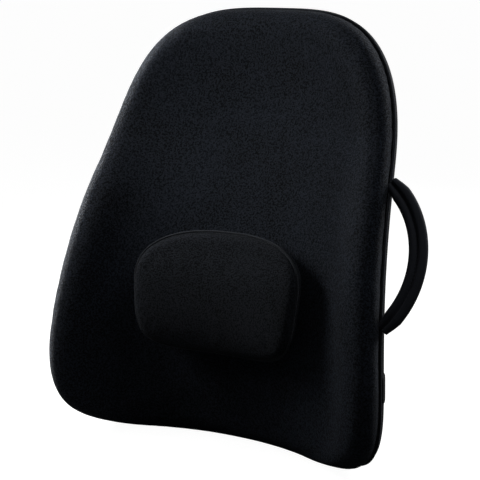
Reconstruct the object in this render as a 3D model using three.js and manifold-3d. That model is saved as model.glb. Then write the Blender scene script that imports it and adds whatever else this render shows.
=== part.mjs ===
// A portable lumbar support backrest: a rigid S-shaped shell between two foam layers, in a sewn
// zip-off cover with a side carry handle, a chair strap with a side-release buckle, and a
// removable lumbar pad held by hook strips. Millimetres, +Z up, the user's side faces -Y, and the
// handle is on +X. The origin is the middle of the flat that the backrest stands on.
import * as THREE from "three";
import { mergeVertices } from "three/addons/utils/BufferGeometryUtils.js";
import Module from "manifold-3d";

const wasm = await Module();
wasm.setup();

// ---- Driving dimensions ----
const GAP = 0.3; // between neighbouring pieces

// Outline, seen from the front: two superellipse caps joined by gently tapering sides.
const HEIGHT = 530;
const HALF_WIDTH_BOTTOM = 237.5;
const HALF_WIDTH_TOP = 167;
const SIDE_BULGE = 8;
const TOP_CAP = 187;
const TOP_POWER = 3.5;
const BOTTOM_CAP = 246;
const BOTTOM_POWER = 6;
const SEAT_FLAT_DEPTH = 0.8; // how much of the bottom curve is pressed flat to stand on
const OUTLINE_POINTS = 40;

// Side profile: upright below, an arc leaning back through the lumbar zone, then a forward curl.
const ARC_START = 95;
const ARC_END = 325;
const CURL_START = 364;
const LEAN = THREE.MathUtils.degToRad(23.4);
const TOP_TILT = THREE.MathUtils.degToRad(-11);
const DISH_RADIUS = 350; // the horizontal curve that brings the side wings forward

// Layers through the thickness, measured along Y from the middle surface.
const THICKNESS = 56;
const FRONT = -THICKNESS / 2;
const BACK = THICKNESS / 2;
const FRONT_EDGE_RADIUS = 26;
const BACK_EDGE_RADIUS = 12;
const COVER_FABRIC = 2.2;
const SEAM_LEVEL = 12;
const WELT_RADIUS = 2.2;
const SHELL_THICKNESS = 4.5;
const SHELL_FRONT = 8.6;
const SHELL_INSET = 12;

// Lumbar pad, in heights above the front face.
const PAD_CENTRE_Z = 199;
const PAD_HALF_WIDTH = 113.5;
const PAD_TAPER = 0.05; // how much wider the pad is at its top than at its centre
const PAD_TOP_HEIGHT = 67;
const PAD_BOTTOM_HEIGHT = 78;
const PAD_TOP_POWER = 2.6;
const PAD_BOTTOM_POWER = 4.8;
const PAD_TILT = THREE.MathUtils.degToRad(0.5); // it is stuck on slightly askew
const PAD_POINTS = 28;
const PAD_BASE = 3.4;
const PAD_SEAM = 26;
const PAD_SHOULDER = 38;
const PAD_CROWN = 42;
const PAD_EDGE_INSET = 13;
const PAD_BACK_INSET = 14;
const PAD_FABRIC = 1.6;
const PAD_WELT_RADIUS = 1.4;
const HOOK_BASE = 1.4;
const HOOK_STRIP = { width: 25, height: 90, x: 48, thickness: 1.6 };

// Carry handle: an arc of two corded lobes, on an axis just outside the side wall.
const HANDLE_LOW_Z = 187;
const HANDLE_HIGH_Z = 335;
const HANDLE_AXIS_CLEARANCE = 5.5;
const HANDLE_RISE = 33.5;
const HANDLE_END_TRIM = 6; // degrees cut off each end of the arc so that it clears its anchor
const LOBE_RADIUS = 6.1;
const LOBE_SPACING = 5.3;
const CORD_RADIUS = 3;
const CORD_HOLE_RADIUS = 3.5;
const ANCHOR_RADIUS = 3.5;
const ANCHOR_OVERLAP = 1.5; // how far an anchor reaches past the axis point towards the grip
const ANCHOR_HEIGHT = 14;

// Chair strap and its buckle, across the back. Levels here and below are from the back face.
const STRAP_Z = 114;
const STRAP_WIDTH = 25;
const STRAP_BASE = 2.6;
const STRAP_THICKNESS = 1.4;
const STRAP_OUTER_X = 207;
const TAB_HEIGHT = 29;
const TAB_CLEARANCE = 0.5;
const TAB_THICKNESS = 1.6;
const TAB_RETURN = 18;
const BUCKLE_BASE = 2.8;
const BUCKLE_DEPTH = 10;
const BUCKLE_HALF_HEIGHT = 17;
const FEMALE_END_X = -28;
const FEMALE_MOUTH_X = 10;
const MALE_END_X = 30;
const ADJUSTER_X = 115;

// Zipper, across the lower back.
const ZIP_Z = 50;
const ZIP_HALF_LENGTH = 180;
const TAPE_WIDTH = 8;
const TAPE_BASE = 0.4;
const TAPE_THICKNESS = 0.8;
const TEETH_WIDTH = 1.3;
const TEETH_HALF_LENGTH = 171.5;
const TEETH_BASE = 1.5;
const TEETH_THICKNESS = 1.2;
const SLIDER_REST_X = 165;

// ---- Materials ----
function material(color, roughness, metalness = 0) {
  return new THREE.MeshStandardMaterial({ color, roughness, metalness });
}
const pileFabric = material(0x17191d, 0.95);
const backFabric = material(0x141518, 0.9);
const padFabric = material(0x131418, 0.92);
const weltFabric = material(0x1b1d20, 0.85);
const foam = material(0x55585c, 0.95);
const shellPlastic = material(0x26282b, 0.5);
const webbing = material(0x121316, 0.8);
const cord = material(0x2c2e31, 0.7);
const bucklePlastic = material(0x101113, 0.4);
const zipTape = material(0x141517, 0.85);
const zipNylon = material(0x18191b, 0.45);
const zipMetal = material(0x2a2b2e, 0.35, 0.8);
const hookNylon = material(0x1a1b1e, 0.7);

const backrest = new THREE.Group();

function addMesh(name, geometry, look, parent = backrest) {
  const mesh = new THREE.Mesh(geometry, look);
  mesh.name = name;
  parent.add(mesh);
  return mesh;
}

// ---- The curved middle surface ----

// How far a circle bends away while its slope angle turns from one value to another over a height.
function arcRise(z, low, high, startAngle, endAngle) {
  const radius = (high - low) / (Math.sin(endAngle) - Math.sin(startAngle));
  const reached = THREE.MathUtils.clamp(z, low, high);
  const sine = Math.sin(startAngle) + (reached - low) / radius;
  return radius * (Math.cos(startAngle) - Math.sqrt(1 - sine * sine));
}

function profileY(z) {
  const straight = THREE.MathUtils.clamp(z, ARC_END, CURL_START) - ARC_END;
  return (
    arcRise(z, ARC_START, ARC_END, 0, LEAN) +
    straight * Math.tan(LEAN) +
    arcRise(z, CURL_START, HEIGHT, LEAN, TOP_TILT)
  );
}

function dishDepth(x) {
  return DISH_RADIUS - Math.sqrt(DISH_RADIUS * DISH_RADIUS - x * x);
}

function onSurface(x, z, level) {
  return new THREE.Vector3(x, profileY(z) - dishDepth(x) + level, z);
}

function halfWidth(z) {
  const s = z / HEIGHT;
  const taper = HALF_WIDTH_BOTTOM + (HALF_WIDTH_TOP - HALF_WIDTH_BOTTOM) * s;
  return taper + SIDE_BULGE * 4 * s * (1 - s);
}

function signedPower(value, power) {
  return Math.sign(value) * Math.abs(value) ** power;
}

// The side wall's distance from the middle plane at a height, inside the caps as well.
function wallX(z) {
  const topReach = Math.max(z - (HEIGHT - TOP_CAP), 0) / TOP_CAP;
  const bottomReach = Math.max(BOTTOM_CAP - z, 0) / BOTTOM_CAP;
  const top = (1 - topReach ** TOP_POWER) ** (1 / TOP_POWER);
  const bottom = (1 - bottomReach ** BOTTOM_POWER) ** (1 / BOTTOM_POWER);
  return halfWidth(z) * top * bottom;
}

// Evenly spaced points round a closed outline, with the outward normal at each.
// They straddle the outline's first point, so that a flat there is one whole facet.
function spacedOutline(dense, count) {
  const spaced = new THREE.Path().setFromPoints([...dense, dense[0]]).getSpacedPoints(2 * count);
  const points = spaced.filter((_, i) => i % 2 === 1);
  return points.map((point, i) => {
    const before = points.at(i - 1);
    const after = points[(i + 1) % points.length];
    const along = new THREE.Vector2().subVectors(after, before).normalize();
    return { point, normal: new THREE.Vector2(along.y, -along.x) };
  });
}

// The body's outline starts at the bottom centre and runs up the +X side.
function bodyOutline() {
  const dense = [];
  const capSteps = 60;
  const sideSteps = 12;
  const cap = (angle, top) => {
    const power = 2 / (top ? TOP_POWER : BOTTOM_POWER);
    const across = signedPower(Math.cos(angle), power);
    const up = signedPower(Math.sin(angle), power);
    const z = top ? HEIGHT - TOP_CAP + TOP_CAP * up : BOTTOM_CAP + BOTTOM_CAP * up;
    dense.push(new THREE.Vector2(across * halfWidth(z), Math.max(z - SEAT_FLAT_DEPTH, 0)));
  };
  const side = (sign, step) => {
    const share = sign > 0 ? step / sideSteps : 1 - step / sideSteps;
    const z = THREE.MathUtils.lerp(BOTTOM_CAP, HEIGHT - TOP_CAP, share);
    dense.push(new THREE.Vector2(sign * halfWidth(z), z - SEAT_FLAT_DEPTH));
  };
  for (let i = 0; i < capSteps; i++) cap((-Math.PI / 2) * (1 - i / capSteps), false);
  for (let i = 0; i < sideSteps; i++) side(1, i);
  for (let i = 0; i < 2 * capSteps; i++) cap((Math.PI / 2) * (i / capSteps), true);
  for (let i = 0; i < sideSteps; i++) side(-1, i);
  for (let i = 0; i < capSteps; i++) cap(Math.PI + (Math.PI / 2) * (i / capSteps), false);
  return spacedOutline(dense, OUTLINE_POINTS);
}

function padOutline() {
  const dense = [];
  const steps = 240;
  const centre = new THREE.Vector2(0, PAD_CENTRE_Z);
  for (let i = 0; i < steps; i++) {
    const angle = (2 * Math.PI * i) / steps - Math.PI / 2;
    const top = Math.sin(angle) > 0;
    const power = 2 / (top ? PAD_TOP_POWER : PAD_BOTTOM_POWER);
    const height = top ? PAD_TOP_HEIGHT : PAD_BOTTOM_HEIGHT;
    const rise = height * signedPower(Math.sin(angle), power);
    const width = PAD_HALF_WIDTH * (1 + (PAD_TAPER * rise) / PAD_TOP_HEIGHT);
    const x = width * signedPower(Math.cos(angle), power);
    dense.push(new THREE.Vector2(x, PAD_CENTRE_Z + rise).rotateAround(centre, PAD_TILT));
  }
  return spacedOutline(dense, PAD_POINTS);
}

// ---- Geometry builders ----

function indexedGeometry(positions, index) {
  const geometry = new THREE.BufferGeometry();
  geometry.setAttribute("position", new THREE.Float32BufferAttribute(positions, 3));
  geometry.setIndex(index);
  return geometry;
}

// Whether the next ring is the wider one, or on a plain wall the one further back.
function ringGrows(from, to) {
  const same = 1e-6;
  const wider = to.scale - from.scale || from.inset - to.inset;
  return Math.abs(wider) > same ? wider > 0 : to.level > from.level;
}

// One closed body from rings that grow from a front pole and shrink to a back pole.
// A station is { inset, level, scale }: how far inside the outline the ring lies, its place
// through the thickness, and its size about the centre. Scale 0 is a pole.
// Growing and shrinking rings split their quads alike, so that stacked layers stay parallel.
function plate(outline, centreZ, stations) {
  const positions = [];
  const index = [];
  const count = outline.length;
  const firstPole = onSurface(0, centreZ, stations[0].level);
  positions.push(...firstPole.toArray());
  const rings = stations.slice(1, -1);
  for (const { inset, level, scale } of rings) {
    for (const { point, normal } of outline) {
      const x = (point.x - normal.x * inset) * scale;
      const z = centreZ + (point.y - normal.y * inset - centreZ) * scale;
      positions.push(...onSurface(x, Math.max(z, 0), level).toArray());
    }
  }
  positions.push(...onSurface(0, centreZ, stations.at(-1).level).toArray());
  const lastPole = positions.length / 3 - 1;
  const vertex = (ring, i) => 1 + ring * count + (i % count);
  for (let i = 0; i < count; i++) {
    index.push(0, vertex(0, i), vertex(0, i + 1));
    for (let ring = 0; ring + 1 < rings.length; ring++) {
      const a = vertex(ring, i);
      const b = vertex(ring, i + 1);
      const c = vertex(ring + 1, i + 1);
      const d = vertex(ring + 1, i);
      if (ringGrows(rings[ring], rings[ring + 1])) index.push(a, d, c, a, c, b);
      else index.push(a, d, b, d, c, b);
    }
    index.push(lastPole, vertex(rings.length - 1, i + 1), vertex(rings.length - 1, i));
  }
  return indexedGeometry(positions, index);
}

// Stations across a face, from its pole to the ring at the given inset. A crown raises the middle.
function faceStations(inset, level, crown = 0) {
  const scales = [0, 0.25, 0.5, 0.75, 1];
  return scales.map((scale) => ({ inset, level: level + crown * (1 - scale * scale), scale }));
}

// Stations round an elliptical edge, leaving out the ring that the face already has.
// Turn 0 is the face and turn 90 degrees is the side wall.
function edgeStations(centreInset, centreLevel, acrossRadius, levelRadius, steps) {
  const stations = [];
  for (let i = 1; i <= steps; i++) {
    const turn = (Math.PI / 2) * (i / steps);
    stations.push({
      inset: centreInset - acrossRadius * Math.sin(turn),
      level: centreLevel + levelRadius * Math.cos(turn),
      scale: 1,
    });
  }
  return stations;
}

// A round cord that follows the whole outline.
function outlineCord(outline, inset, level, radius, sides) {
  const positions = [];
  const index = [];
  for (const { point, normal } of outline) {
    for (let side = 0; side < sides; side++) {
      const turn = (2 * Math.PI * side) / sides;
      const out = radius * Math.cos(turn) - inset;
      const x = point.x + normal.x * out;
      const z = Math.max(point.y + normal.y * out, 0);
      positions.push(...onSurface(x, z, level + radius * Math.sin(turn)).toArray());
    }
  }
  const count = outline.length;
  const vertex = (i, side) => (i % count) * sides + (side % sides);
  for (let i = 0; i < count; i++) {
    for (let side = 0; side < sides; side++) {
      const a = vertex(i, side);
      const b = vertex(i + 1, side);
      const c = vertex(i + 1, side + 1);
      const d = vertex(i, side + 1);
      index.push(a, c, b, a, d, c);
    }
  }
  return indexedGeometry(positions, index);
}

// A thin box laid on the curved surface between two levels.
function bentBox(xRange, zRange, levelRange, stepsX, stepsZ) {
  const [x0, x1] = xRange;
  const [z0, z1] = zRange;
  const [l0, l1] = levelRange;
  const geometry = new THREE.BoxGeometry(x1 - x0, l1 - l0, z1 - z0, stepsX, 1, stepsZ);
  geometry.translate((x0 + x1) / 2, (l0 + l1) / 2, (z0 + z1) / 2);
  const position = geometry.attributes.position;
  for (let i = 0; i < position.count; i++) {
    const placed = onSurface(position.getX(i), position.getZ(i), position.getY(i));
    position.setXYZ(i, ...placed.toArray());
  }
  return geometry;
}

function box(x0, x1, y0, y1, z0, z1) {
  const geometry = new THREE.BoxGeometry(x1 - x0, y1 - y0, z1 - z0);
  return geometry.translate((x0 + x1) / 2, (y0 + y1) / 2, (z0 + z1) / 2);
}

// A flat outline in X and Z, drawn out along Y.
function extrudeAlongY(shape, y0, y1, curveSegments = 4) {
  const geometry = new THREE.ExtrudeGeometry(shape, {
    depth: y1 - y0,
    bevelEnabled: false,
    curveSegments,
  });
  return geometry.rotateX(Math.PI / 2).translate(0, y1, 0);
}

function roundedRectangle(width, height, radius, centreX = 0, centreZ = 0) {
  const w = width / 2 - radius;
  const h = height / 2 - radius;
  const shape = new THREE.Shape();
  shape.absarc(centreX + w, centreZ - h, radius, -Math.PI / 2, 0, false);
  shape.absarc(centreX + w, centreZ + h, radius, 0, Math.PI / 2, false);
  shape.absarc(centreX - w, centreZ + h, radius, Math.PI / 2, Math.PI, false);
  shape.absarc(centreX - w, centreZ - h, radius, Math.PI, 1.5 * Math.PI, false);
  shape.closePath();
  return shape;
}

function toSolid(geometry) {
  const bare = geometry.clone();
  bare.deleteAttribute("normal");
  bare.deleteAttribute("uv");
  const merged = mergeVertices(bare);
  return new wasm.Manifold(
    new wasm.Mesh({
      numProp: 3,
      vertProperties: merged.attributes.position.array,
      triVerts: new Uint32Array(merged.index.array),
    }),
  );
}

function toGeometry(solid) {
  const mesh = solid.getMesh();
  return indexedGeometry(Array.from(mesh.vertProperties), Array.from(mesh.triVerts));
}

function combine(base, { add = [], cut = [] }) {
  let solid = toSolid(base);
  for (const geometry of add) solid = solid.add(toSolid(geometry));
  for (const geometry of cut) solid = solid.subtract(toSolid(geometry));
  return toGeometry(solid);
}

// ---- Body ----
const BODY_CENTRE_Z = 262;
const outline = bodyOutline();

// The front of a layer that lies `depth` inside the cover's outer skin.
function frontStations(depth) {
  const radius = FRONT_EDGE_RADIUS - depth;
  const centreLevel = FRONT + FRONT_EDGE_RADIUS;
  return [
    ...faceStations(FRONT_EDGE_RADIUS, FRONT + depth),
    ...edgeStations(FRONT_EDGE_RADIUS, centreLevel, radius, -radius, 4),
  ];
}

// The back of a layer, from the side wall to the pole.
function backStations(depth) {
  const radius = BACK_EDGE_RADIUS - depth;
  const centreLevel = BACK - BACK_EDGE_RADIUS;
  return [
    ...faceStations(FRONT_EDGE_RADIUS, BACK - depth),
    { inset: BACK_EDGE_RADIUS, level: BACK - depth, scale: 1 },
    ...edgeStations(BACK_EDGE_RADIUS, centreLevel, radius, radius, 2),
  ].reverse();
}

// The flat side of a layer at one level, from the pole to its edge.
function innerFace(level, inset) {
  return [
    ...faceStations(FRONT_EDGE_RADIUS, level),
    { inset: SHELL_INSET, level, scale: 1 },
    ...(inset < SHELL_INSET ? [{ inset, level, scale: 1 }] : []),
  ];
}

function buildCovers() {
  const seamGap = WELT_RADIUS + GAP;
  const frontRim = { level: SEAM_LEVEL - seamGap, scale: 1 };
  const frontStationsList = [
    ...frontStations(0),
    { inset: 0, ...frontRim },
    { inset: COVER_FABRIC, ...frontRim },
    ...frontStations(COVER_FABRIC).reverse(),
  ];
  addMesh("front_cover", plate(outline, BODY_CENTRE_Z, frontStationsList), pileFabric);

  const backRim = { level: SEAM_LEVEL + seamGap, scale: 1 };
  const backStationsList = [
    ...backStations(COVER_FABRIC).reverse(),
    { inset: COVER_FABRIC, ...backRim },
    { inset: 0, ...backRim },
    ...backStations(0),
  ];
  addMesh("back_cover", plate(outline, BODY_CENTRE_Z, backStationsList), backFabric);

  const weltInset = 0.6;
  addMesh("edge_welt", outlineCord(outline, weltInset, SEAM_LEVEL, WELT_RADIUS, 5), weltFabric);
}

function buildFoams() {
  const skin = COVER_FABRIC + GAP;
  const frontStationsList = [
    ...frontStations(skin),
    { inset: skin, level: SHELL_FRONT - GAP, scale: 1 },
    ...innerFace(SHELL_FRONT - GAP, skin + 3).reverse(),
  ];
  addMesh("front_foam", plate(outline, BODY_CENTRE_Z, frontStationsList), foam);

  const paddingFront = SHELL_FRONT + SHELL_THICKNESS + GAP;
  const paddingInset = skin + WELT_RADIUS;
  const backStationsList = [
    ...innerFace(paddingFront, paddingInset),
    { inset: paddingInset, level: SEAM_LEVEL + WELT_RADIUS + 2 * GAP, scale: 1 },
    ...backStations(skin),
  ];
  addMesh("back_padding", plate(outline, BODY_CENTRE_Z, backStationsList), foam);
}

// The rigid shell has rows of slots beside a solid spine, like a rib cage, so that it can flex.
function buildShell() {
  const slotRows = 5;
  const slotPitch = 74;
  const slotHeight = 16;
  const lowestSlotZ = 105;
  const spineHalfWidth = 34;
  const slotEdgeMargin = 62;
  const stations = [
    ...innerFace(SHELL_FRONT, SHELL_INSET),
    ...innerFace(SHELL_FRONT + SHELL_THICKNESS, SHELL_INSET).reverse(),
  ];
  const slots = [];
  for (let row = 0; row < slotRows; row++) {
    const z = lowestSlotZ + slotPitch * row;
    const length = halfWidth(z) - slotEdgeMargin - spineHalfWidth;
    for (const side of [-1, 1]) {
      const x = side * (spineHalfWidth + length / 2);
      const slot = roundedRectangle(length, slotHeight, slotHeight / 2 - 0.1, x, z);
      slots.push(extrudeAlongY(slot, -150, 150, 2));
    }
  }
  const shell = combine(plate(outline, BODY_CENTRE_Z, stations), { cut: slots });
  addMesh("frame_shell", shell, shellPlastic);
}

// ---- Lumbar pad ----
function padFrontStations(depth) {
  const centreLevel = FRONT - PAD_SEAM;
  const rise = PAD_SHOULDER - PAD_SEAM - depth;
  return [
    ...faceStations(PAD_EDGE_INSET, FRONT - PAD_SHOULDER + depth, PAD_SHOULDER - PAD_CROWN),
    ...edgeStations(PAD_EDGE_INSET, centreLevel, PAD_EDGE_INSET - depth, -rise, 3),
  ];
}

function padRearStations(depth) {
  const centreLevel = FRONT - PAD_SEAM;
  const drop = PAD_SEAM - PAD_BASE - depth;
  return [
    ...faceStations(PAD_BACK_INSET, FRONT - PAD_BASE - depth),
    ...edgeStations(PAD_BACK_INSET, centreLevel, PAD_BACK_INSET - depth, drop, 2),
  ].reverse();
}

function buildLumbarPad() {
  const pad = padOutline();
  const seamGap = PAD_WELT_RADIUS + GAP;
  const frontRim = { level: FRONT - PAD_SEAM - seamGap, scale: 1 };
  const rearRim = { level: FRONT - PAD_SEAM + seamGap, scale: 1 };
  const aboveSeam = (station) => station.level < frontRim.level;
  const belowSeam = (station) => station.level > rearRim.level;
  const frontCover = [
    ...padFrontStations(0).filter(aboveSeam),
    { inset: 0, ...frontRim },
    { inset: PAD_FABRIC, ...frontRim },
    ...padFrontStations(PAD_FABRIC).filter(aboveSeam).reverse(),
  ];
  addMesh("pad_front_cover", plate(pad, PAD_CENTRE_Z, frontCover), padFabric);

  const rearCover = [
    ...padRearStations(PAD_FABRIC).filter(belowSeam).reverse(),
    { inset: PAD_FABRIC, ...rearRim },
    { inset: 0, ...rearRim },
    ...padRearStations(0).filter(belowSeam),
  ];
  addMesh("pad_rear_cover", plate(pad, PAD_CENTRE_Z, rearCover), padFabric);

  const skin = PAD_FABRIC + GAP;
  const core = [...padFrontStations(skin), ...padRearStations(skin).slice(1)];
  addMesh("pad_foam", plate(pad, PAD_CENTRE_Z, core), foam);
  const weltInset = 0.2;
  const level = FRONT - PAD_SEAM;
  addMesh("pad_welt", outlineCord(pad, weltInset, level, PAD_WELT_RADIUS, 5), weltFabric);

  const { width, height, x, thickness } = HOOK_STRIP;
  for (const [side, name] of [[-1, "hook_strip_left"], [1, "hook_strip_right"]]) {
    const xRange = [side * x - width / 2, side * x + width / 2];
    const zRange = [PAD_CENTRE_Z - height / 2, PAD_CENTRE_Z + height / 2];
    const levels = [FRONT - HOOK_BASE - thickness, FRONT - HOOK_BASE];
    addMesh(name, bentBox(xRange, zRange, levels, 2, 6), hookNylon);
  }
}

// ---- Carry handle ----

// A point on the swing axis, just outside the side wall at the seam's level.
function handleAxisPoint(z) {
  const wall = onSurface(wallX(z), z, SEAM_LEVEL);
  return wall.add(new THREE.Vector3(HANDLE_AXIS_CLEARANCE, 0, 0));
}

// The handle's frame: Z along the swing axis, X outwards from the body.
function handleFrame() {
  const low = handleAxisPoint(HANDLE_LOW_Z);
  const high = handleAxisPoint(HANDLE_HIGH_Z);
  const up = new THREE.Vector3().subVectors(high, low).normalize();
  const out = new THREE.Vector3(1, 0, 0).addScaledVector(up, -up.x).normalize();
  const side = new THREE.Vector3().crossVectors(up, out);
  const group = new THREE.Group();
  group.quaternion.setFromRotationMatrix(new THREE.Matrix4().makeBasis(out, side, up));
  group.position.addVectors(low, high).multiplyScalar(0.5);
  backrest.add(group);
  return { group, halfChord: low.distanceTo(high) / 2 };
}

function circle(radius, centreX, segments) {
  const shape = new THREE.Shape();
  for (let i = 0; i < segments; i++) {
    const turn = (2 * Math.PI * i) / segments;
    const x = centreX + radius * Math.cos(turn);
    const y = radius * Math.sin(turn);
    if (i === 0) shape.moveTo(x, y);
    else shape.lineTo(x, y);
  }
  shape.closePath();
  return shape;
}

// Two touching lobes, drawn as the outside of two circles.
function lobedShape(radius, spacing) {
  const waist = Math.acos(spacing / radius);
  const shape = new THREE.Shape();
  shape.absarc(spacing, 0, radius, waist - Math.PI, Math.PI - waist, false);
  shape.absarc(-spacing, 0, radius, waist, 2 * Math.PI - waist, false);
  shape.closePath();
  return shape;
}

// A section drawn out along the handle's arc. The section's X points away from the arc's centre.
function sweepArc(shape, radius, halfAngle, centreX, curveSegments) {
  const steps = 12;
  const flat = new THREE.ExtrudeGeometry(shape, {
    depth: 1,
    steps,
    bevelEnabled: false,
    curveSegments,
  });
  const position = flat.attributes.position;
  for (let i = 0; i < position.count; i++) {
    const turn = halfAngle * (2 * position.getZ(i) - 1);
    const reach = radius + position.getX(i);
    const x = centreX + reach * Math.cos(turn);
    position.setXYZ(i, x, position.getY(i), reach * Math.sin(turn));
  }
  return flat;
}

function buildHandle() {
  const { group, halfChord } = handleFrame();
  const radius = (halfChord * halfChord + HANDLE_RISE * HANDLE_RISE) / (2 * HANDLE_RISE);
  const fullHalfAngle = Math.asin(halfChord / radius);
  const halfAngle = fullHalfAngle - THREE.MathUtils.degToRad(HANDLE_END_TRIM);
  const centreX = HANDLE_RISE - radius;
  const sleeve = lobedShape(LOBE_RADIUS, LOBE_SPACING);
  const lobes = [["handle_cord_outer", LOBE_SPACING], ["handle_cord_inner", -LOBE_SPACING]];
  for (const [, x] of lobes) sleeve.holes.push(circle(CORD_HOLE_RADIUS, x, 6));
  addMesh("handle_sleeve", sweepArc(sleeve, radius, halfAngle, centreX, 6), webbing, group);
  for (const [name, x] of lobes) {
    const section = circle(CORD_RADIUS, x, 6);
    addMesh(name, sweepArc(section, radius, halfAngle, centreX, 1), cord, group);
  }
  buildHandleAnchors(group, halfChord);
}

// The two sewn webbing tabs that hold the handle's ends, each from the welt out to the axis.
function buildHandleAnchors(group, halfChord) {
  const reach = HANDLE_AXIS_CLEARANCE - WELT_RADIUS + GAP;
  const shape = new THREE.Shape();
  shape.moveTo(-reach, -ANCHOR_RADIUS);
  shape.absarc(0, 0, ANCHOR_RADIUS, -Math.PI / 2, Math.PI / 2, false);
  shape.lineTo(-reach, ANCHOR_RADIUS);
  shape.closePath();
  const options = { depth: ANCHOR_HEIGHT, bevelEnabled: false, curveSegments: 6 };
  for (const [name, side] of [["handle_anchor_lower", -1], ["handle_anchor_upper", 1]]) {
    const inner = side * (halfChord - ANCHOR_OVERLAP);
    const outer = inner + side * ANCHOR_HEIGHT;
    const geometry = new THREE.ExtrudeGeometry(shape, options);
    addMesh(name, geometry.translate(0, 0, Math.min(inner, outer)), webbing, group);
  }
}

// ---- Chair strap ----

// A webbing tab that comes out of the side seam and turns round the back edge.
function strapTab() {
  const inside = BACK_EDGE_RADIUS + TAB_CLEARANCE;
  const outside = inside + TAB_THICKNESS;
  const start = SEAM_LEVEL + WELT_RADIUS + 2 * GAP - (BACK - BACK_EDGE_RADIUS);
  const shape = new THREE.Shape();
  shape.moveTo(outside, start);
  shape.absarc(0, 0, outside, 0, Math.PI / 2, false);
  shape.lineTo(-TAB_RETURN, outside);
  shape.lineTo(-TAB_RETURN, inside);
  shape.absarc(0, 0, inside, Math.PI / 2, 0, true);
  shape.lineTo(inside, start);
  shape.closePath();
  const geometry = new THREE.ExtrudeGeometry(shape, {
    depth: TAB_HEIGHT,
    bevelEnabled: false,
    curveSegments: 5,
  });
  const position = geometry.attributes.position;
  for (let i = 0; i < position.count; i++) {
    const z = STRAP_Z - TAB_HEIGHT / 2 + position.getZ(i);
    const x = wallX(z) - BACK_EDGE_RADIUS + position.getX(i);
    const level = BACK - BACK_EDGE_RADIUS + position.getY(i);
    position.setXYZ(i, ...onSurface(x, z, level).toArray());
  }
  return geometry;
}

function buildChairStrap() {
  addMesh("strap_anchor_right", strapTab(), webbing);
  addMesh("strap_anchor_left", strapTab(), webbing).scale.x = -1;
  const zRange = [STRAP_Z - STRAP_WIDTH / 2, STRAP_Z + STRAP_WIDTH / 2];
  const levels = [BACK + STRAP_BASE, BACK + STRAP_BASE + STRAP_THICKNESS];
  const leftRange = [-STRAP_OUTER_X, FEMALE_END_X - 2 * GAP];
  const rightRange = [MALE_END_X + 2 * GAP, STRAP_OUTER_X];
  addMesh("strap_left", bentBox(leftRange, zRange, levels, 12, 2), webbing);
  addMesh("strap_right", bentBox(rightRange, zRange, levels, 12, 2), webbing);
}

// The side-release buckle. The female half is a flat box that is open at its mouth, with a window
// above and below for the prongs to latch in and be squeezed through.
function buildBuckle() {
  const y0 = BACK + BUCKLE_BASE;
  const y1 = y0 + BUCKLE_DEPTH;
  const wall = 2.2;
  const cavityHalfHeight = BUCKLE_HALF_HEIGHT - 3;
  const cavityEndX = -12;
  const windowEndX = 2;
  const slotWidth = 6;
  const slotHalfHeight = STRAP_WIDTH / 2 + 1;
  const through = [y0 - 1, y1 + 1];

  const centreX = (FEMALE_END_X + FEMALE_MOUTH_X) / 2;
  const femaleWidth = FEMALE_MOUTH_X - FEMALE_END_X;
  const femaleShape = roundedRectangle(femaleWidth, 2 * BUCKLE_HALF_HEIGHT, 4, centreX, STRAP_Z);
  const slotX = FEMALE_END_X + 3.5;
  const cavity = box(
    cavityEndX, FEMALE_MOUTH_X + 1, y0 + wall, y1 - wall,
    STRAP_Z - cavityHalfHeight, STRAP_Z + cavityHalfHeight,
  );
  const windows = box(
    cavityEndX, windowEndX, y0 + wall, y1 - wall,
    STRAP_Z - BUCKLE_HALF_HEIGHT - 1, STRAP_Z + BUCKLE_HALF_HEIGHT + 1,
  );
  const femaleSlot = box(
    slotX, slotX + slotWidth, ...through, STRAP_Z - slotHalfHeight, STRAP_Z + slotHalfHeight,
  );
  const female = combine(extrudeAlongY(femaleShape, y0, y1), { cut: [cavity, windows, femaleSlot] });
  addMesh("buckle_female", female, bucklePlastic);

  const prongGap = wall + 2 * GAP;
  const inner = [y0 + prongGap, y1 - prongGap];
  const baseX = FEMALE_MOUTH_X + 2 * GAP;
  const maleWidth = MALE_END_X - baseX;
  const maleShape = roundedRectangle(
    maleWidth, 2 * BUCKLE_HALF_HEIGHT - 1, 3, (baseX + MALE_END_X) / 2, STRAP_Z,
  );
  const tongue = box(cavityEndX + 2, baseX + 2, ...inner, STRAP_Z - 4, STRAP_Z + 4);
  const maleSlotX = MALE_END_X - 3.5;
  const maleSlot = box(
    maleSlotX - slotWidth, maleSlotX, ...through, STRAP_Z - slotHalfHeight, STRAP_Z + slotHalfHeight,
  );
  const maleBase = extrudeAlongY(maleShape, y0 + 1, y1 - 1);
  addMesh("buckle_male", combine(maleBase, { add: [tongue], cut: [maleSlot] }), bucklePlastic);

  // Each prong is an arm with a barb that stands in the window, behind the mouth's post.
  // Heights here are from the strap's middle line.
  const armInner = 9;
  const armOuter = 12;
  const barbHeight = cavityHalfHeight + 1.2;
  const barb = new THREE.Shape();
  barb.moveTo(baseX - 2 * GAP, armInner);
  barb.lineTo(baseX - 2 * GAP, armOuter);
  barb.lineTo(windowEndX - 2 * GAP, armOuter);
  barb.lineTo(windowEndX - 2 * GAP, barbHeight);
  barb.lineTo(cavityEndX + 3.5, armOuter - 0.5);
  barb.lineTo(cavityEndX + 3.5, armInner);
  barb.closePath();
  const prong = extrudeAlongY(barb, ...inner);
  addMesh("buckle_prong_upper", prong, bucklePlastic).position.z = STRAP_Z;
  const lower = addMesh("buckle_prong_lower", prong.clone(), bucklePlastic);
  lower.position.z = STRAP_Z;
  lower.scale.z = -1;
}

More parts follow.
